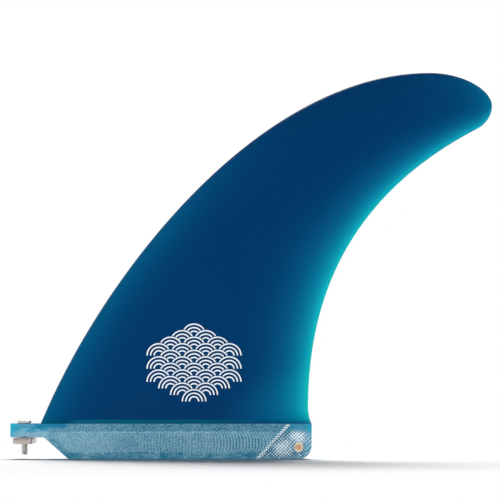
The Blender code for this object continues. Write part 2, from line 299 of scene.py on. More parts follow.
class Finish:
    """A node tree under construction."""

    def __init__(self, tree):
        self.tree = tree

    def node(self, kind, settings, inputs, output=0):
        made = self.tree.nodes.new(kind)
        for name, value in settings.items():
            setattr(made, name, value)
        for key, value in inputs.items():
            if isinstance(value, Value):
                self.tree.links.new(value.socket, made.inputs[key])
            else:
                made.inputs[key].default_value = value
        return Value(self, made.outputs[output])

    def link(self, value, node, socket):
        self.tree.links.new(value.socket, node.inputs[socket])

    def place(self):
        """Object coordinates, and their X, Y and Z in millimetres."""
        point = self.node("ShaderNodeTexCoord", {}, {}, "Object")
        return point, [self.node("ShaderNodeSeparateXYZ", {}, {0: point}, axis) * MM for axis in "XYZ"]

    def noise(self, point, size_mm, detail=2.0):
        """Noise from 0 to 1 whose blotches are about that size."""
        inputs = {"Vector": point, "Scale": MM / size_mm, "Detail": detail}
        return self.node("ShaderNodeTexNoise", {}, inputs)

    def grain(self, point, size_mm):
        """Noise from 0 to 1 with strong contrast, for specks and flecks."""
        return self.noise(point, size_mm).smooth(0.32, 0.68)

    def mix(self, factor, first, second):
        """A colour between two colours."""
        ends = [end if isinstance(end, Value) else (*end, 1.0) for end in (first, second)]
        return self.node("ShaderNodeMix", {"data_type": "RGBA"}, {0: factor, 6: ends[0], 7: ends[1]}, 2)

    def ray(self, output):
        """1 for rays of the kind that this Light Path output names, 0 for others."""
        return self.node("ShaderNodeLightPath", {}, {}, output)

    def bump(self, height, size_mm):
        """A surface normal over bumps of that size."""
        return self.node("ShaderNodeBump", {}, {"Distance": size_mm / MM, "Height": height})


class Surface(Finish):
    """A material with one Principled shader."""

    def __init__(self, name, roughness=0.5, metallic=0.0, specular=0.5):
        self.material = bpy.data.materials.new(name)
        self.material.use_nodes = True
        super().__init__(self.material.node_tree)
        self.shader = self.tree.nodes["Principled BSDF"]
        fixed = {"Roughness": roughness, "Metallic": metallic, "Specular IOR Level": specular}
        for socket, value in fixed.items():
            self.shader.inputs[socket].default_value = value

    def feed(self, socket, value):
        self.link(value, self.shader, socket)


# Finishes, with places and sizes in millimetres and strengths from 0 to 1


def tinted_laminate(blade):
    """Translucent blue resin, darker the thicker it is, polished."""
    surface = Surface("tinted_laminate", specular=0.05)
    point, (x, _, z) = surface.place()
    depth = surface.node("ShaderNodeAttribute", {"attribute_name": "tint_depth"}, {}, "Fac")
    clouds = surface.noise(point, 30.0) * 0.06 + 0.97
    tints = zip(blade.edge_tint, blade.deep_tint)
    red, green, blue = ((deep / edge) ** depth * edge * clouds for edge, deep in tints)
    # Painted light: the lip just above the tab, towards the screw end, loses some blue, giving the teal of
    # its lit underside.
    lip = (1 - (z - ROOT_Z * MM).smooth(1.5, 4.0)) * (1 - x.smooth(20, 45))
    blue = blue * (1 - lip * 0.2 - (1 - depth.smooth(0.0, 0.2)) * 0.12)
    surface.feed("Base Color", surface.node("ShaderNodeCombineColor", {}, {0: red, 1: green, 2: blue}))
    sanding = surface.noise(point, 0.6, 3.0)
    surface.feed("Roughness", sanding * 0.08 + 0.18)
    surface.feed("Normal", surface.bump(sanding, 0.004))
    return surface.material


def white_print(settings):
    """Screened ink with a little unevenness."""
    surface = Surface("white_print", roughness=0.4, specular=0.25)
    point, _ = surface.place()
    thin = [channel * 0.86 for channel in settings.ink]
    surface.feed("Base Color", surface.mix(surface.noise(point, 1.5), thin, settings.ink))
    return surface.material


def weave(x, z, pitch):
    """Plain weave at 45 degrees, from 0 between the threads to 1 on their crowns."""
    turn = math.pi / pitch / math.sqrt(2)
    warp = ((x + z) * turn).sine()
    weft = ((x - z) * turn).sine()
    over = (warp * weft).smooth(-0.2, 0.2)
    warp_dash = abs(warp) * abs(weft) ** 0.35
    weft_dash = abs(weft) * abs(warp) ** 0.35
    return over * warp_dash + (1 - over) * weft_dash


def sanded_laminate(tab):
    """Flatted laminate: glass threads in blue resin, with a ply line and arcs of cut cloth."""
    surface = Surface("sanded_laminate", specular=0.1)
    point, (x, _, z) = surface.place()
    drift = surface.noise(point, 5.0) - 0.5
    threads = weave(x + drift * 1.6, z - drift * 1.2, 1.2)
    specks = surface.grain(point, 0.9) - 0.5
    blotch = surface.noise(point, 8.0) - 0.5

    top_band = z.smooth(15.5, 16.1)
    sweep = x + (x - 1) * (z - 9.4) ** 2 * 0.0015 + drift * 0.8
    arcs = (sweep * (math.tau / 1.85)).sine().smooth(-0.8, 0.8) - 0.5
    arc_share = x.smooth(-34, -18) * (x.smooth(14, 30) * 0.5 + 0.5) * (1 - top_band)
    cloth = threads - 0.5 + arcs * arc_share * (threads * 0.8 + 0.4)
    from_ramp = ramp_distance(tab, x, z)
    ramp_lines = (from_ramp * (math.tau / 1.6)).sine() * (1 - from_ramp.smooth(5, 11)) * 0.05
    shown = 0.42 - x.smooth(-58, -28) * 0.11 + x.smooth(-20, 0) * 0.05 - top_band * 0.156 + blotch * 0.3
    shown = shown + cloth * (0.5 - top_band * 0.2) + specks * 0.3 + ramp_lines
    tone = surface.mix(shown, tab.gap, tab.thread)

    ply_line = (1 - abs(z - 15.8).smooth(0.0, 0.6)) * x.smooth(-68, -60) * (1 - x.smooth(36, 44))
    tone = surface.mix(ply_line * (specks * 0.6 + 0.35), tone, tab.thread)
    drawn_out = surface.node("ShaderNodeMapping", {}, {"Vector": point, "Scale": (0.25, 1.0, 1.0)})
    streaks = surface.grain(drawn_out, 1.0)
    band_tone = surface.mix(streaks * 0.25 + specks * 0.2 + blotch * 0.6, tab.band, tab.thread)
    ragged_z = z + blotch * 2.0 + specks * 0.6
    band = 1 - ragged_z.smooth(3.2, 4.8)
    ramp_band = 1 - (from_ramp + blotch * 2.0).smooth(1.5, 5.5)
    on_body = x.smooth(-80, -76)
    tone = surface.mix((band * 0.85).most(ramp_band * 0.65) * on_body, tone, band_tone)

    run = ragged_z.smooth(17.2, 19.0) * (1 - x.smooth(-69, -64)) * x.smooth(-92, -83)
    on_tongue = 1 - x.smooth(-80, -74)
    upper = ragged_z.smooth(14.8, 17.2) * on_tongue
    tongue_tone = surface.mix(streaks * 0.35, tab.tongue, tab.thread)
    tone = surface.mix(upper * 0.9, tone, tongue_tone)
    tone = surface.mix(on_tongue * (1 - upper) * (streaks * 0.15), tone, tab.thread)
    tone = surface.mix(run * 0.9, tone, tab.gloss)
    tone = surface.mix((1 - (x - z * 0.3).smooth(-105.5, -99.5)) * 0.85, tone, tab.end)
    surface.feed("Base Color", tone)
    surface.feed("Roughness", 0.62 - run.most(upper) * 0.35)
    surface.feed("Normal", surface.bump(threads * 0.6 + specks * 0.4, 0.03))
    return surface.material


def ramp_distance(tab, x, z):
    """Distance behind the ramp's plane, in millimetres."""
    ramp = Vector((tab.ramp_foot_x - tab.ramp_top_x, tab.tongue_depth - TAB_TOP)).normalized()
    return (x - tab.ramp_foot_x * MM) * -ramp.y + z * ramp.x


def heel_cloth(tab):
    """Bare glass cloth in clear resin, palest where sanded most and worn to blue streaks along the heel."""
    surface = Surface("heel_cloth", specular=0.1)
    point, (x, _, z) = surface.place()
    drift = surface.noise(point, 5.0) - 0.5
    threads = weave(x + drift, z - drift, 1.4) - 0.5
    blotch = surface.noise(point, 4.0) - 0.5
    specks = surface.grain(point, 0.8) - 0.5
    low, high = (((x - cx) ** 2 + (z - cz) ** 2) ** 0.5 for cx, cz in ((58.0, 7.0), (66.5, 13.0)))
    sanded = (1 - low.smooth(1, 8)).most(1 - high.smooth(1, 8))
    shown = sanded * 0.65 + threads * 1.2 + blotch * 0.8 + specks * 0.5
    tone = surface.mix(shown, tab.gap, tab.cloth)
    diagonal = ((x - z) * (math.tau / 2.6) + specks * 2).sine().smooth(-0.4, 1.0)
    worn = surface.mix(diagonal * 0.6 + specks * 0.4, tab.tongue, tab.cloth)
    tone = surface.mix((x + specks * 2).smooth(69, 72.5) * 0.85, tone, worn)
    tone = surface.mix((z + specks * 2 + blotch * 4).smooth(15.0, 17.8) * 0.85, tone, tab.tongue)
    tone = surface.mix(x.smooth(70.5, 74) * z.smooth(13, 17) * 0.85, tone, tab.end)
    surface.feed("Base Color", tone)
    surface.feed("Normal", surface.bump(threads, 0.05))
    return surface.material


def selvage_thread(tab):
    """Glass yarn of the woven edge: pale stitches on a bluer band."""
    surface = Surface("selvage_thread", specular=0.1)
    point, (_, y, _) = surface.place()
    fibres = surface.noise(point, 0.5, 3.0)
    raised = (abs(y) - TAB_HALF * MM).smooth(0.06, 0.13)
    shown = raised * 0.85 + 0.24 + (fibres - 0.5) * 0.4
    surface.feed("Base Color", surface.mix(shown, tab.gap, tab.cloth))
    surface.feed("Normal", surface.bump(fibres, 0.02))
    return surface.material


def pin_resin(tab):
    """Cream resin that beds the pin."""
    surface = Surface("pin_resin", roughness=0.45, specular=0.3)
    point, _ = surface.place()
    dark = [channel * 0.8 for channel in tab.bed]
    surface.feed("Base Color", surface.mix(surface.noise(point, 0.7, 3.0), dark, tab.bed))
    return surface.material


def worn_metal(name, base, roughness, metallic=1.0):
    """Bare metal with fine handling marks; dull metal is less metallic."""
    surface = Surface(name, metallic=metallic)
    point, _ = surface.place()
    marks = surface.noise(point, 0.5, 4.0)
    dark = [channel * 0.85 for channel in base]
    bright = [min(1.0, channel * 1.15) for channel in base]
    surface.feed("Base Color", surface.mix(marks, dark, bright))
    surface.feed("Roughness", marks * 0.2 + (roughness - 0.1))
    surface.feed("Normal", surface.bump(marks, 0.006))
    return surface.material


# Modelling helpers


def deselect_all():
    bpy.ops.object.select_all(action="DESELECT")


def make_active(piece):
    deselect_all()
    piece.select_set(True)
    bpy.context.view_layer.objects.active = piece


def apply_place(piece):
    """Puts a piece's place, turn and scale into its mesh."""
    make_active(piece)
    bpy.ops.object.transform_apply()


def start_piece(name):
    """Names the object just added and puts its place into its mesh."""
    piece = bpy.context.active_object
    piece.name = name
    piece.data.name = name
    apply_place(piece)
    return piece


def add_block(name, low, high):
    low, high = Vector(low), Vector(high)
    deselect_all()
    bpy.ops.mesh.primitive_cube_add(size=1, location=(low + high) / 2, scale=high - low)
    return start_piece(name)


def add_rod(name, radius, depth, centre, rotation=(0, 0, 0), vertices=64):
    deselect_all()
    bpy.ops.mesh.primitive_cylinder_add(
        vertices=vertices, radius=radius, depth=depth, location=centre, rotation=rotation
    )
    return start_piece(name)


def add_ball(name, centre, radii, segments=64, rings=32):
    deselect_all()
    bpy.ops.mesh.primitive_uv_sphere_add(
        segments=segments, ring_count=rings, radius=1, location=centre, scale=radii
    )
    return start_piece(name)


def open_selected(piece, faces=None, edges=None):
    """Opens a piece in edit mode and selects the faces or edges whose middle and direction pass a test."""
    make_active(piece)
    bpy.context.tool_settings.mesh_select_mode = (False, edges is not None, faces is not None)
    bpy.ops.object.mode_set(mode="EDIT")
    bpy.ops.mesh.select_all(action="DESELECT")
    bpy.ops.object.mode_set(mode="OBJECT")
    points = [v.co for v in piece.data.vertices]
    if faces is not None:
        for face in piece.data.polygons:
            face.select = bool(faces(face.center, face.normal))
    else:
        for edge in piece.data.edges:
            start, end = (points[i] for i in edge.vertices)
            edge.select = bool(edges((start + end) / 2, (end - start).normalized()))
    bpy.ops.object.mode_set(mode="EDIT")


def open_all(piece):
    """Opens a piece in edit mode and selects all of its faces."""
    open_selected(piece, faces=lambda centre, facing: True)


def close_edit():
    bpy.ops.object.mode_set(mode="OBJECT")


def cut_away(piece, point, normal):
    """Slices a piece at a plane, removes what lies on the normal's side and closes the cut."""
    open_all(piece)
    bpy.ops.mesh.bisect(
        plane_co=point, plane_no=normal, use_fill=True, clear_outer=True, threshold=CUT_PRECISION
    )
    close_edit()


def use_modifier(piece, kind, **settings):
    make_active(piece)
    bpy.ops.object.modifier_add(type=kind)
    modifier = piece.modifiers[-1]
    for name, value in settings.items():
        setattr(modifier, name, value)
    bpy.ops.object.modifier_apply(modifier=modifier.name)


def combine(piece, other, operation="DIFFERENCE", merge_own_parts=False):
    """Cuts, joins or trims a piece with another shape, which is used up."""
    use_modifier(
        piece, "BOOLEAN", object=other, operation=operation, solver="EXACT", use_self=merge_own_parts
    )
    bpy.data.objects.remove(other, do_unlink=True)


def clean_up(piece):
    """Merges doubled points, removes faces without area and turns the rest outwards."""
    open_all(piece)
    bpy.ops.mesh.remove_doubles(threshold=MERGE_DISTANCE)
    bpy.ops.mesh.dissolve_degenerate(threshold=MERGE_DISTANCE)
    bpy.ops.mesh.select_all(action="SELECT")
    bpy.ops.mesh.normals_make_consistent()
    close_edit()


def join_pieces(pieces, name):
    """Puts several objects into the first one's mesh."""
    make_active(pieces[0])
    for piece in pieces:
        piece.select_set(True)
    bpy.ops.object.join()
    pieces[0].name = name
    pieces[0].data.name = name
    return pieces[0]


def copy_to(piece, shift):
    """A copy with its own mesh, moved by a shift in its mesh."""
    make_active(piece)
    bpy.ops.object.duplicate()
    bpy.ops.transform.translate(value=shift)
    made = bpy.context.active_object
    apply_place(made)
    return made


def round_edges(piece, width, segments=3):
    """Rounds every edge that turns by more than 30 degrees."""
    use_modifier(
        piece, "BEVEL", width=width, segments=segments, limit_method="ANGLE", angle_limit=math.radians(30)
    )


def bevel_edges(piece, offset, segments, test):
    """Rounds the edges whose middle and direction pass a test."""
    open_selected(piece, edges=test)
    bpy.ops.mesh.bevel(offset=offset, segments=segments, affect="EDGES")
    close_edit()


def shade(piece, material, degrees=30.0):
    make_active(piece)
    piece.data.materials.clear()
    piece.data.materials.append(material)
    bpy.ops.object.shade_smooth_by_angle(angle=math.radians(degrees))


def settle(piece, body, slot, *nodes):
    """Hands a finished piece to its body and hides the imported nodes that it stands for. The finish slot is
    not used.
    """
    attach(piece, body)
    if nodes:
        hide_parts(*nodes)


# Blade


def bezier_point(points, t):
    a, b, c, d = (Vector(p) for p in points)
    return a * (1 - t) ** 3 + b * 3 * t * (1 - t) ** 2 + c * 3 * t * t * (1 - t) + d * t**3


def points_along(segments, shares):
    """Points at rising shares of the length of a chain of Bezier segments."""
    line = [bezier_point(s, step / EDGE_SAMPLES) for s in segments for step in range(EDGE_SAMPLES + 1)]
    reach = [0.0]
    for last, point in zip(line, line[1:]):
        reach.append(reach[-1] + (point - last).length)
    found = []
    index = 0
    for wanted in shares:
        while index < len(line) - 2 and reach[index + 1] < wanted * reach[-1]:
            index += 1
        step = reach[index + 1] - reach[index]
        along = (wanted * reach[-1] - reach[index]) / step if step else 0.0
        found.append(line[index].lerp(line[index + 1], min(1.0, along)))
    return found


def clamp(value):
    return min(1.0, max(0.0, value))


def ease_step(value, low=0.0, high=1.0):
    """0 below low, 1 above high and a smooth step between them."""
    part = clamp((value - low) / (high - low))
    return part * part * (3 - 2 * part)


def panel_shape(u, chord, blade):
    """Nose, easing and taper of the panel, each up to 1, at chord share u on a section of that chord."""
    nose_length = min(blade.nose, FRONT_SHARE * chord)
    ease_length = min(blade.ease, FRONT_SHARE * chord)
    taper_length = min(blade.taper, REAR_SHARE * chord)
    before_nose_end = clamp(1 - u * chord / nose_length)
    before_full = clamp(1 - u * chord / ease_length)
    into_taper = clamp(1 - (1 - u) * chord / taper_length)
    nose = math.sqrt(1 - before_nose_end**2)
    ease = 1 - (1 - blade.nose_share) * before_full**2
    return nose, ease, 1 - into_taper**TAPER_POWER


def blunt_shape(u):
    """Section with blunt ends, up to 1, at chord share u."""
    return (1 - abs(2 * u - 1) ** BLUNTNESS) ** (1 / BLUNTNESS)


def panel_tint(u, v, chord, ease, taper, blade):
    """Tint depth of the panel: light at the lower front edge, the tip and the rear, with painted shade as
    dark rims along the upper edges.
    """
    front_light = 1 - ease_step(v, 0.34, 0.72) + ease_step(v, 0.90, 0.98)
    body = (1 - (1 - ease) * front_light) * taper
    # Painted shade: a darker tint in a thin rim along the upper trailing edge.
    rear_painted_shade = 0.25 * clamp(1 - (1 - u) * chord / REAR_PAINTED_SHADE_WIDTH) * ease_step(v, 0.6, 0.8)
    # Painted shade: a darker tint on the nose of the upper leading edge, where its curve turns away from the
    # light.
    front_painted_shade = 0.35 * clamp(1 - u * chord / FRONT_PAINTED_SHADE_WIDTH) * ease_step(v, 0.3, 0.6)
    return body**0.8 * (1 - blade.tip_fade * v**14) + rear_painted_shade + front_painted_shade


def heel_tint(depth, x, height):
    """Tint depth at the foot of the blade: lighter towards the heel, with painted shade as a dark line in the
    crease along the tab.
    """
    reach = math.hypot(x - HEEL_X, 1.6 * height)
    light = 1 - ease_step(reach, 0.032, 0.060)
    # Painted shade: a darker tint in the crease where the blade meets the tab, strongest towards the heel.
    line = clamp(1 - height / FOOT_PAINTED_SHADE_HEIGHT) ** 2 * ease_step(x, 0.020, 0.045)
    line *= 0.2 + 0.3 * ease_step(x, 0.060, 0.072)
    return max(0.0, depth * (1 - 0.17 * light) - 0.03 * light) + line


def blade_section(u, v, chord, place, blade):
    """Half thickness and tint depth at chord share u and span share v, at that place in the X-Z plane."""
    height = place.y - ROOT_Z
    tip_round = math.sqrt(max(0.0, 1 - v**6))
    nose, ease, taper = panel_shape(u, chord, blade)
    panel = blade.thickness / 2 * (1 - blade.tip_thinning * v * v) * nose * ease * taper
    foil = max(panel, blade.edge_thickness / 2 * blunt_shape(u)) * tip_round
    foot = TAB_HALF * blunt_shape(u)
    depth = heel_tint(panel_tint(u, v, chord, ease, taper, blade), place.x, height)
    if foil > foot:
        below = clamp(1 - height / blade.lip)
        # Painted light: a lighter tint on the rounded lip over the tab, whose underside faces the bright
        # floor.
        lip_painted_light = 0.34 * ease_step(foil - foot, 0.0, 0.0005) * ease_step(below, 0.0, 0.25)
        lip_painted_light *= 1 - 0.6 * ease_step(place.x, 0.010, 0.036)
        return foot + (foil - foot) * math.sqrt(1 - below**2), depth * (1 - lip_painted_light)
    below = clamp(1 - height / blade.flare)
    return foil + (foot - foil) * below**2, depth


def loft_blade(blade):
    """Half of the blade from a grid, open at the middle plane, with its tint depth on every point."""
    deselect_all()
    bpy.ops.mesh.primitive_grid_add(x_subdivisions=blade.chord_steps, y_subdivisions=blade.span_steps, size=1)
    piece = start_piece("fin_blade")
    shares = [ease_step(row / blade.span_steps) for row in range(blade.span_steps + 1)]
    fronts = points_along(LEADING_EDGE, shares)
    rears = points_along(TRAILING_EDGE, shares)
    for rear in rears:
        rear.x += HEEL_FLARE * clamp(1 - (rear.y - ROOT_Z) / HEEL_FLARE_HEIGHT) ** 2
    depths = piece.data.attributes.new("tint_depth", "FLOAT", "POINT")
    for index, vertex in enumerate(piece.data.vertices):
        u = clamp((1 - math.cos(math.pi * (vertex.co.x + 0.5))) / 2)
        row = round((vertex.co.y + 0.5) * blade.span_steps)
        place = fronts[row].lerp(rears[row], u)
        chord = max(TOUCH, (rears[row] - fronts[row]).length)
        half, depth = blade_section(u, shares[row], chord, place, blade)
        on_edge = u < TOUCH or u > 1 - TOUCH or chord < 2 * TOUCH
        vertex.co = (place.x, 0.0 if on_edge else half, place.y)
        depths.data[index].value = depth
    return piece


def make_blade(blade):
    piece = loft_blade(blade)
    open_selected(piece, edges=lambda middle, run: middle.z < ROOT_Z + TOUCH)
    bpy.ops.mesh.extrude_edges_move()
    bpy.ops.transform.resize(value=(1, 0, 1), center_override=(0, 0, 0))
    bpy.ops.mesh.select_all(action="SELECT")
    bpy.ops.mesh.remove_doubles(threshold=TOUCH)
    bpy.ops.mesh.normals_make_consistent()
    close_edit()
    use_modifier(piece, "MIRROR", use_axis=(False, True, False), merge_threshold=TOUCH)
    shade(piece, tinted_laminate(blade), 50.0)
    settle(piece, "fin", "tinted_laminate", "blade")


class FIN_OT_make_blade(Operator):
    """Model the foiled blade"""

    bl_idname = "fin.make_blade"
    bl_label = "Make Blade"

    def execute(self, context):
        make_blade(context.scene.fin_blade)
        return {"FINISHED"}


# Print


def make_ring(radius, width):
    """A flat ring in the X-Z plane round the origin."""
    circles = []
    for edge in (radius - width / 2, radius + width / 2):
        deselect_all()
        bpy.ops.mesh.primitive_circle_add(vertices=RING_STEPS, radius=edge, rotation=ACROSS)
        circles.append(start_piece("ring"))
    piece = join_pieces(circles, "ring")
    open_selected(piece, edges=lambda middle, run: True)
    bpy.ops.mesh.bridge_edge_loops()
    close_edit()
    return piece


def make_wave_scale(settings, covered_sides):
    """Concentric arcs of one scale, without what the scales of the row below cover."""
    radius = settings.scale_radius
    covers = [Vector((side * radius, 0.0, -settings.row_step)) for side in covered_sides]
    rings = [make_ring(radius * part, settings.line) for part in PRINT_RINGS]
    piece = join_pieces(rings, "wave_scale")
    open_selected(
        piece,
        faces=lambda centre, facing: centre.z < 0
        or any((centre - cover).length < radius + settings.line for cover in covers),
    )
    bpy.ops.mesh.delete(type="FACE")
    close_edit()
    return piece


def print_places(settings):
    """Middle of each wave scale, and the sides, -1 left and 1 right, that the row below covers."""
    radius = settings.scale_radius
    top = settings.centre_z + settings.row_step * (len(PRINT_ROWS) - 1) / 2 - radius / 2
    rows = []
    for row, count in enumerate(PRINT_ROWS):
        z = top - row * settings.row_step
        rows.append([(settings.centre_x + radius * (2 * i - count + 1), z) for i in range(count)])
    for places, next_places in zip(rows, [*rows[1:], []]):
        below = [x for x, _ in next_places]
        for x, z in places:
            covered = [side for side in (-1, 1) if any(abs(x + side * radius - b) < TOUCH for b in below)]
            yield x, z, tuple(covered)


def make_print(settings):
    """Lays the wave scales on the blade's left side."""
    patterns = {}
    scales = []
    for x, z, covered_sides in print_places(settings):
        if covered_sides not in patterns:
            patterns[covered_sides] = make_wave_scale(settings, covered_sides)
        scales.append(copy_to(patterns[covered_sides], (x, PRINT_START_Y, z)))
    for pattern in patterns.values():
        bpy.data.objects.remove(pattern, do_unlink=True)
    piece = join_pieces(scales, "blade_print")
    open_all(piece)
    bpy.ops.mesh.normals_make_consistent()
    close_edit()
    blade = bpy.data.objects["fin_blade"]
    use_modifier(piece, "SHRINKWRAP", target=blade, wrap_method="PROJECT", use_project_y=True)
    open_all(piece)
    bpy.ops.transform.translate(value=(0.0, -settings.ink_depth, 0.0))
    close_edit()
    use_modifier(piece, "SOLIDIFY", thickness=2 * settings.ink_depth, offset=0.0)
    shade(piece, white_print(settings))
    settle(piece, "fin", "tinted_laminate")


class FIN_OT_make_print(Operator):
    """Print wave scales on the blade"""

    bl_idname = "fin.make_print"
    bl_label = "Make Print"

    def execute(self, context):
        make_print(context.scene.fin_print)
        return {"FINISHED"}


# Tab and heel patches


def patch_plane(tab, offset=0.0):
    """A point on the heel patch's slanted edge, moved along the edge's forward normal, and that normal."""
    run = Vector((tab.patch_head_x - tab.patch_foot_x, 0.0, TAB_TOP)).normalized()
    forward = Vector((-run.z, 0.0, run.x))
    return Vector((tab.patch_foot_x, 0.0, 0.0)) + forward * offset, forward


def bevel_corner(piece, offset, segments, x, z):
    """Rounds the edge that runs across the fin at that place."""
    bevel_edges(piece, offset, segments, lambda middle, run: math.hypot(middle.x - x, middle.z - z) < TOUCH)


def round_heel(piece, tab):
    """Rounds the rear bottom corner."""
    bevel_corner(piece, tab.heel_radius, 20, HEEL_X, 0.0)


def round_sides(piece, tab):
    """Rounds the outline of the tab's sides, apart from the top, where the blade sits."""
    open_all(piece)
    bpy.ops.mesh.dissolve_limited(angle_limit=math.radians(1))
    close_edit()
    bevel_edges(
        piece, tab.edge_round, 3, lambda m, run: abs(m.y) > TAB_HALF - TOUCH and m.z < TAB_TOP - TOUCH
    )


def pin_hole():
    return add_rod("pin_hole", PIN_RADIUS + BOND_GAP, CUTTER_LENGTH, PIN_CENTRE, ACROSS)


def make_tab(tab):
    tongue_bottom = TAB_TOP - tab.tongue_depth
    piece = add_block("tab_body", (tab.ramp_top_x, -TAB_HALF, 0.0), (HEEL_X, TAB_HALF, TAB_TOP))
    ramp = Vector((tab.ramp_foot_x - tab.ramp_top_x, 0.0, -tongue_bottom)).normalized()
    cut_away(piece, (tab.ramp_foot_x, 0.0, 0.0), (ramp.z, 0.0, -ramp.x))
    open_selected(piece, faces=lambda centre, facing: facing.x < -ALIGNED)
    bpy.ops.mesh.extrude_region_move(TRANSFORM_OT_translate={"value": (TAB_LOW.x - tab.ramp_top_x, 0.0, 0.0)})
    close_edit()
    round_heel(piece, tab)
    setback = math.tan(math.atan2(-ramp.z, ramp.x) / 2)
    bevel_corner(piece, tab.ramp_foot_radius * setback, 8, tab.ramp_foot_x, 0.0)
    bevel_corner(piece, tab.ramp_top_radius * setback, 6, tab.ramp_top_x, tongue_bottom)
    round_sides(piece, tab)
    for name, side in SIDES:
        depth = sorted((side * (TAB_HALF - tab.patch_depth), side * 2 * TAB_HALF))
        recess = add_block(
            f"recess_{name}",
            (tab.patch_foot_x - OVERSHOOT, depth[0], -OVERSHOOT),
            (HEEL_X + OVERSHOOT, depth[1], TAB_TOP + OVERSHOOT),
        )
        cut_away(recess, *patch_plane(tab, RECESS_GAP))
        combine(piece, recess)
    combine(piece, pin_hole())
    hole_centre = (SCREW_X, 0.0, TAB_TOP - tab.tongue_depth / 2)
    combine(piece, add_rod("screw_hole", tab.screw_hole / 2, CUTTER_LENGTH, hole_centre))
    shade(piece, sanded_laminate(tab))
    settle(piece, "fin", "sanded_laminate", "base_tab")


class FIN_OT_make_tab(Operator):
    """Model the sanded tab with its tongue, ramp and heel"""

    bl_idname = "fin.make_tab"
    bl_label = "Make Tab"

    def execute(self, context):
        make_tab(context.scene.fin_tab)
        return {"FINISHED"}


def make_heel_cloth(tab, name, side, material):
    faces = sorted((side * (TAB_HALF - tab.patch_depth + BOND_GAP), side * TAB_HALF))
    piece = add_block(
        f"heel_cloth_{name}", (tab.patch_foot_x - OVERSHOOT, faces[0], 0.0), (HEEL_X, faces[1], TAB_TOP)
    )
    cut_away(piece, *patch_plane(tab))
    round_heel(piece, tab)
    round_sides(piece, tab)
    combine(piece, pin_hole())
    shade(piece, material)
    settle(piece, "fin", "glass_cloth", f"heel_patch_{name}")


class FIN_OT_make_heel_cloth(Operator):
    """Model the glass-cloth patches on both sides of the heel"""

    bl_idname = "fin.make_heel_cloth"
    bl_label = "Make Heel Cloth"

    def execute(self, context):
        tab = context.scene.fin_tab
        material = heel_cloth(tab)
        for name, side in SIDES:
            make_heel_cloth(tab, name, side, material)
        return {"FINISHED"}


def make_selvage(tab, name, side, material):
    """A flat woven band with two rows of slanted stitches, laid along a patch's slanted edge."""
    rise = Vector((tab.patch_head_x - tab.patch_foot_x, TAB_TOP))
    width = tab.selvage_width
    count = math.ceil(rise.length / tab.stitch_pitch) + 2 * SPARE
    start = -SPARE * tab.stitch_pitch
    band = add_block("selvage_band", (start, -BAND_SINK, 0.0), (rise.length - start, BAND_RISE, width))
    round_edges(band, THIN_EDGE, 2)
    stitch = add_ball("stitch", (0, 0, 0), STITCH_RADII, 16, 10)
    make_active(stitch)
    bpy.ops.transform.rotate(value=STITCH_SLANT, orient_axis="Y", center_override=(0, 0, 0))
    bpy.ops.transform.translate(value=(start, STITCH_RISE, width * STITCH_ROW))
    apply_place(stitch)
    use_modifier(
        stitch,
        "ARRAY",
        count=count,
        use_relative_offset=False,
        use_constant_offset=True,
        constant_offset_displace=(tab.stitch_pitch, 0.0, 0.0),
    )
    other_row = copy_to(stitch, (tab.stitch_pitch / 2, 0.0, 0.0))
    make_active(other_row)
    bpy.ops.transform.mirror(constraint_axis=(False, False, True), center_override=(0, 0, width / 2))
    apply_place(other_row)
    piece = join_pieces([band, stitch, other_row], f"heel_selvage_{name}")
    if side < 0:
        open_all(piece)
        bpy.ops.transform.resize(value=(1, -1, 1), center_override=(0, 0, 0))
        close_edit()
    piece.rotation_euler.y = -math.atan2(rise.y, rise.x)
    piece.location = (tab.patch_foot_x, side * TAB_HALF, 0.0)
    apply_place(piece)
    clean_up(piece)
    trim = add_block(
        "selvage_trim",
        (TAB_LOW.x, -2 * TAB_HALF, tab.edge_round),
        (HEEL_X, 2 * TAB_HALF, TAB_TOP - tab.edge_round),
    )
    combine(piece, trim, "INTERSECT", merge_own_parts=True)
    clean_up(piece)
    shade(piece, material, 60.0)
    settle(piece, "fin", "glass_cloth")


class FIN_OT_make_selvage(Operator):
    """Model the woven edges of the heel patches"""

    bl_idname = "fin.make_selvage"
    bl_label = "Make Selvage"

    def execute(self, context):
        tab = context.scene.fin_tab
        material = selvage_thread(tab)
        for name, side in SIDES:
            make_selvage(tab, name, side, material)
        return {"FINISHED"}


# Hardware


def make_pin_bed(tab, name, side, material):
    """A thin ring of resin on the cloth, round the pin."""
    centre = Vector((PIN_CENTRE.x, side * (TAB_HALF - BED_SINK), PIN_CENTRE.z))
    piece = add_rod(f"pin_bed_{name}", tab.pin_bed, BED_THICKNESS, centre, ACROSS)
    combine(piece, pin_hole())
    round_edges(piece, THIN_EDGE, 2)
    shade(piece, material)
    settle(piece, "fin", "glass_cloth")


def make_pin(hardware):
    """A pin with chamfered ends and a shallow centre mark in each end."""
    piece = add_rod("pin_rod", PIN_RADIUS, PIN_HIGH.y - PIN_LOW.y, PIN_CENTRE, ACROSS)
    round_edges(piece, PIN_CHAMFER)
    open_selected(piece, faces=lambda centre, facing: abs(centre.y) > PIN_HIGH.y - TOUCH)
    bpy.ops.mesh.inset(thickness=PIN_RIM, use_individual=True)
    bpy.ops.mesh.inset(thickness=MARK_SLOPE, depth=-MARK_DEPTH, use_individual=True)
    close_edit()
    shade(piece, worn_metal("dulled_brass", hardware.brass, 0.5, 0.4))
    settle(piece, "fin", "brass", "heel_pin")


class FIN_OT_make_pin(Operator):
    """Model the pin across the heel and its resin beds"""

    bl_idname = "fin.make_pin"
    bl_label = "Make Pin"

    def execute(self, context):
        make_pin(context.scene.fin_hardware)
        tab = context.scene.fin_tab
        material = pin_resin(tab)
        for name, side in SIDES:
            make_pin_bed(tab, name, side, material)
        return {"FINISHED"}


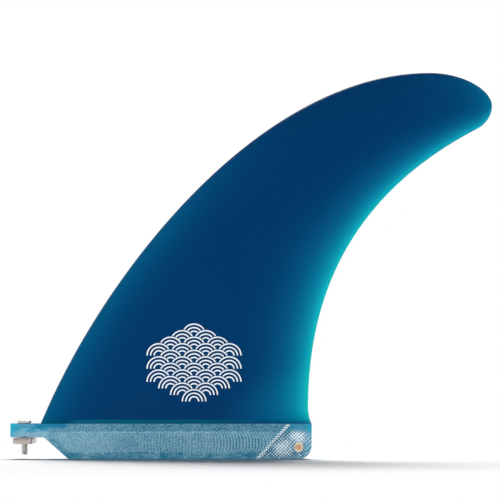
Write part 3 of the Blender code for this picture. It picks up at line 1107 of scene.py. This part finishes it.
def make_thread(hardware, top, bottom):
    """A threaded rod between two heights on the screw's axis, with a chamfered lower end."""
    crest = hardware.shank_diameter / 2
    root = crest - hardware.thread_depth
    pitch = hardware.thread_pitch
    profile = [(root, 1.0), (root, 0.88), (crest, 0.56), (crest, 0.44), (root, 0.12), (root, 0.0)]
    mesh = bpy.data.meshes.new("screw_thread")
    mesh.from_pydata(
        [(radius, 0.0, pitch * rise) for radius, rise in profile],
        [(i, i + 1) for i in range(len(profile) - 1)],
        [],
    )
    piece = bpy.data.objects.new("screw_thread", mesh)
    bpy.context.scene.collection.objects.link(piece)
    use_modifier(
        piece,
        "SCREW",
        axis="Z",
        screw_offset=pitch,
        iterations=math.ceil((top - bottom) / pitch) + 2 * SPARE,
        steps=THREAD_STEPS,
    )
    piece.location = (SCREW_X, 0.0, bottom - SPARE * pitch)
    apply_place(piece)
    clean_up(piece)
    cut_away(piece, (0, 0, top), (0, 0, 1))
    cut_away(piece, (0, 0, bottom), (0, 0, -1))
    middle = (SCREW_X, 0.0, bottom + CUTTER_LENGTH / 2)
    envelope = add_rod("thread_envelope", crest + CLEARANCE, CUTTER_LENGTH, middle, vertices=96)
    bevel_edges(envelope, hardware.tip_chamfer + CLEARANCE, 1, lambda m, run: abs(m.z - bottom) < TOUCH)
    combine(piece, envelope, "INTERSECT")
    return piece


def make_head(hardware, seat):
    """A pan head with a driver slot, its seat at that height."""
    radius = (SCREW_HIGH.x - SCREW_LOW.x) / 2
    rim_top = seat + hardware.head_rim
    piece = add_ball("screw_piece", (SCREW_X, 0.0, rim_top), (radius, radius, SCREW_HIGH.z - rim_top))
    cut_away(piece, (0, 0, rim_top), (0, 0, -1))
    open_selected(piece, faces=lambda centre, facing: facing.z < -ALIGNED)
    bpy.ops.mesh.extrude_region_move(TRANSFORM_OT_translate={"value": (0, 0, -hardware.head_rim)})
    close_edit()
    bevel_edges(piece, HEAD_EDGE, 3, lambda m, run: abs(m.z - seat) < TOUCH)
    slot = add_block(
        "driver_slot",
        (SCREW_X - hardware.slot_width / 2, -2 * radius, SCREW_HIGH.z - hardware.slot_depth),
        (SCREW_X + hardware.slot_width / 2, 2 * radius, SCREW_HIGH.z + OVERSHOOT),
    )
    combine(piece, slot)
    return piece


def make_screw(hardware):
    seat = SCREW_HIGH.z - hardware.head_height
    piece = make_head(hardware, seat)
    combine(piece, make_thread(hardware, seat + THREAD_RUN_IN, SCREW_LOW.z), "UNION")
    clean_up(piece)
    open_all(piece)
    bpy.ops.mesh.quads_convert_to_tris()
    close_edit()
    shade(piece, worn_metal("stainless", hardware.steel, 0.3))
    settle(piece, "screw", "stainless", "clamp_screw")


def make_plate(hardware):
    centre = (PLATE_LOW + PLATE_HIGH) / 2
    half = Vector((hardware.plate_length / 2, hardware.plate_width / 2, (PLATE_HIGH.z - PLATE_LOW.z) / 2))
    piece = add_block("plate_piece", -half, half)
    bevel_edges(piece, hardware.plate_round, 8, lambda middle, run: abs(run.z) > ALIGNED)
    piece.rotation_euler.z = hardware.plate_turn
    piece.location = centre
    apply_place(piece)
    round_edges(piece, PLATE_EDGE)
    hole_radius = hardware.shank_diameter / 2 + CLEARANCE
    combine(piece, add_rod("plate_hole", hole_radius, CUTTER_LENGTH, centre))
    shade(piece, worn_metal("dull_stainless", hardware.plate_steel, 0.34))
    settle(piece, "plate", "stainless", "clamp_plate")


class FIN_OT_make_clamp(Operator):
    """Model the clamp screw and its plate"""

    bl_idname = "fin.make_clamp"
    bl_label = "Make Clamp Screw and Plate"

    def execute(self, context):
        make_screw(context.scene.fin_hardware)
        make_plate(context.scene.fin_hardware)
        return {"FINISHED"}


# Stage


def floor_material():
    """Matt white near the fin, where it takes the shadow, and plain white for the camera further off."""
    surface = Surface("studio_floor", roughness=1.0, specular=0.0)
    surface.shader.inputs["Base Color"].default_value = FLOOR_COLOUR
    _, (x, y, _) = surface.place()
    reach = (x**2 + (y * 1.6) ** 2) ** 0.5
    far = reach.smooth(130, 300) * surface.ray("Is Camera Ray")
    matt = Value(surface, surface.shader.outputs[0])
    white = surface.node("ShaderNodeEmission", {}, {"Strength": 1.0})
    mixed = surface.node("ShaderNodeMixShader", {}, {0: far, 1: matt, 2: white})
    surface.link(mixed, surface.tree.nodes["Material Output"], "Surface")
    return surface.material


def light_world(stage):
    """White for the camera, a white tent that opens to the front for reflections, and a low even light."""
    world = bpy.data.worlds.new("studio")
    world.use_nodes = True
    bpy.context.scene.world = world
    finish = Finish(world.node_tree)
    direction = finish.node("ShaderNodeTexCoord", {}, {}, "Generated")
    across = finish.node("ShaderNodeSeparateXYZ", {}, {0: direction}, "Y")
    camera = finish.ray("Is Camera Ray")
    glossy = finish.ray("Is Glossy Ray")
    transmission = finish.ray("Is Transmission Ray")
    tent = (across + 1).smooth(0.2, 0.65) * 0.5 + 0.5
    strength = camera + (1 - camera) * (
        (glossy + transmission) * tent + (1 - glossy) * (1 - transmission) * stage.ambient
    )
    background = world.node_tree.nodes["Background"]
    finish.link(strength, background, "Strength")
    background.inputs["Color"].default_value = (1, 1, 1, 1)


def add_lamp(name, place, target, size, power, in_reflections=False):
    deselect_all()
    bpy.ops.object.light_add(type="AREA", location=place)
    lamp = bpy.context.active_object
    lamp.name = name
    lamp.data.shape = "RECTANGLE"
    lamp.data.size, lamp.data.size_y = size
    lamp.data.energy = power
    lamp.visible_camera = False
    lamp.visible_glossy = in_reflections
    lamp.rotation_euler = (Vector(target) - Vector(place)).to_track_quat("-Z", "Y").to_euler()


def make_stage(stage):
    bpy.context.scene.view_settings.view_transform = "Standard"
    deselect_all()
    bpy.ops.mesh.primitive_plane_add(size=FLOOR_SIZE, location=(0, 0, -FLOOR_DROP))
    floor = start_piece("floor")
    floor.data.materials.append(floor_material())
    light_world(stage)
    middle = (stage.view_x, 0.0, stage.view_z)
    add_lamp("front_left", (-0.60, -1.05, 0.035), middle, (0.50, 0.06), 7.5)
    add_lamp("front_right", (0.80, -1.05, 0.035), middle, (0.50, 0.06), 6.5)
    add_lamp("top_back", (0.05, 0.40, 1.24), (0.05, 0.0, 0.0), (1.20, 0.50), 21.0, in_reflections=True)
    deselect_all()
    bpy.ops.object.camera_add(
        location=(stage.view_x, stage.view_y - stage.camera_distance, stage.view_z), rotation=ACROSS
    )
    camera = bpy.context.active_object
    camera.data.sensor_width = SENSOR_MM
    camera.data.lens = SENSOR_MM * stage.camera_distance / stage.view_width
    bpy.context.scene.camera = camera


class FIN_OT_make_stage(Operator):
    """Set up the floor, lamps and camera"""

    bl_idname = "fin.make_stage"
    bl_label = "Make Stage"

    def execute(self, context):
        make_stage(context.scene.fin_stage)
        return {"FINISHED"}


class FIN_PT_dresser(Panel):
    """Lists the fin's pieces"""

    bl_idname = "FIN_PT_dresser"
    bl_label = "Longboard Fin"
    bl_space_type = "VIEW_3D"
    bl_region_type = "UI"
    bl_category = "Fin"

    def draw(self, context):
        for step in STEPS:
            self.layout.operator(step.bl_idname)


SETTINGS = {
    "fin_blade": BladeSettings,
    "fin_print": PrintSettings,
    "fin_tab": TabSettings,
    "fin_hardware": HardwareSettings,
    "fin_stage": StageSettings,
}
STEPS = (
    FIN_OT_make_stage,
    FIN_OT_make_blade,
    FIN_OT_make_print,
    FIN_OT_make_tab,
    FIN_OT_make_heel_cloth,
    FIN_OT_make_selvage,
    FIN_OT_make_pin,
    FIN_OT_make_clamp,
)


def register():
    for name, settings in SETTINGS.items():
        bpy.utils.register_class(settings)
        setattr(bpy.types.Scene, name, PointerProperty(type=settings))
    for cls in (*STEPS, FIN_PT_dresser):
        bpy.utils.register_class(cls)


def unregister():
    for cls in (FIN_PT_dresser, *reversed(STEPS)):
        bpy.utils.unregister_class(cls)
    for name, settings in reversed(SETTINGS.items()):
        delattr(bpy.types.Scene, name)
        bpy.utils.unregister_class(settings)


def main():
    register()
    for step in STEPS:
        group, call = step.bl_idname.split(".")
        getattr(getattr(bpy.ops, group), call)()


if __name__ == "__main__":
    main()
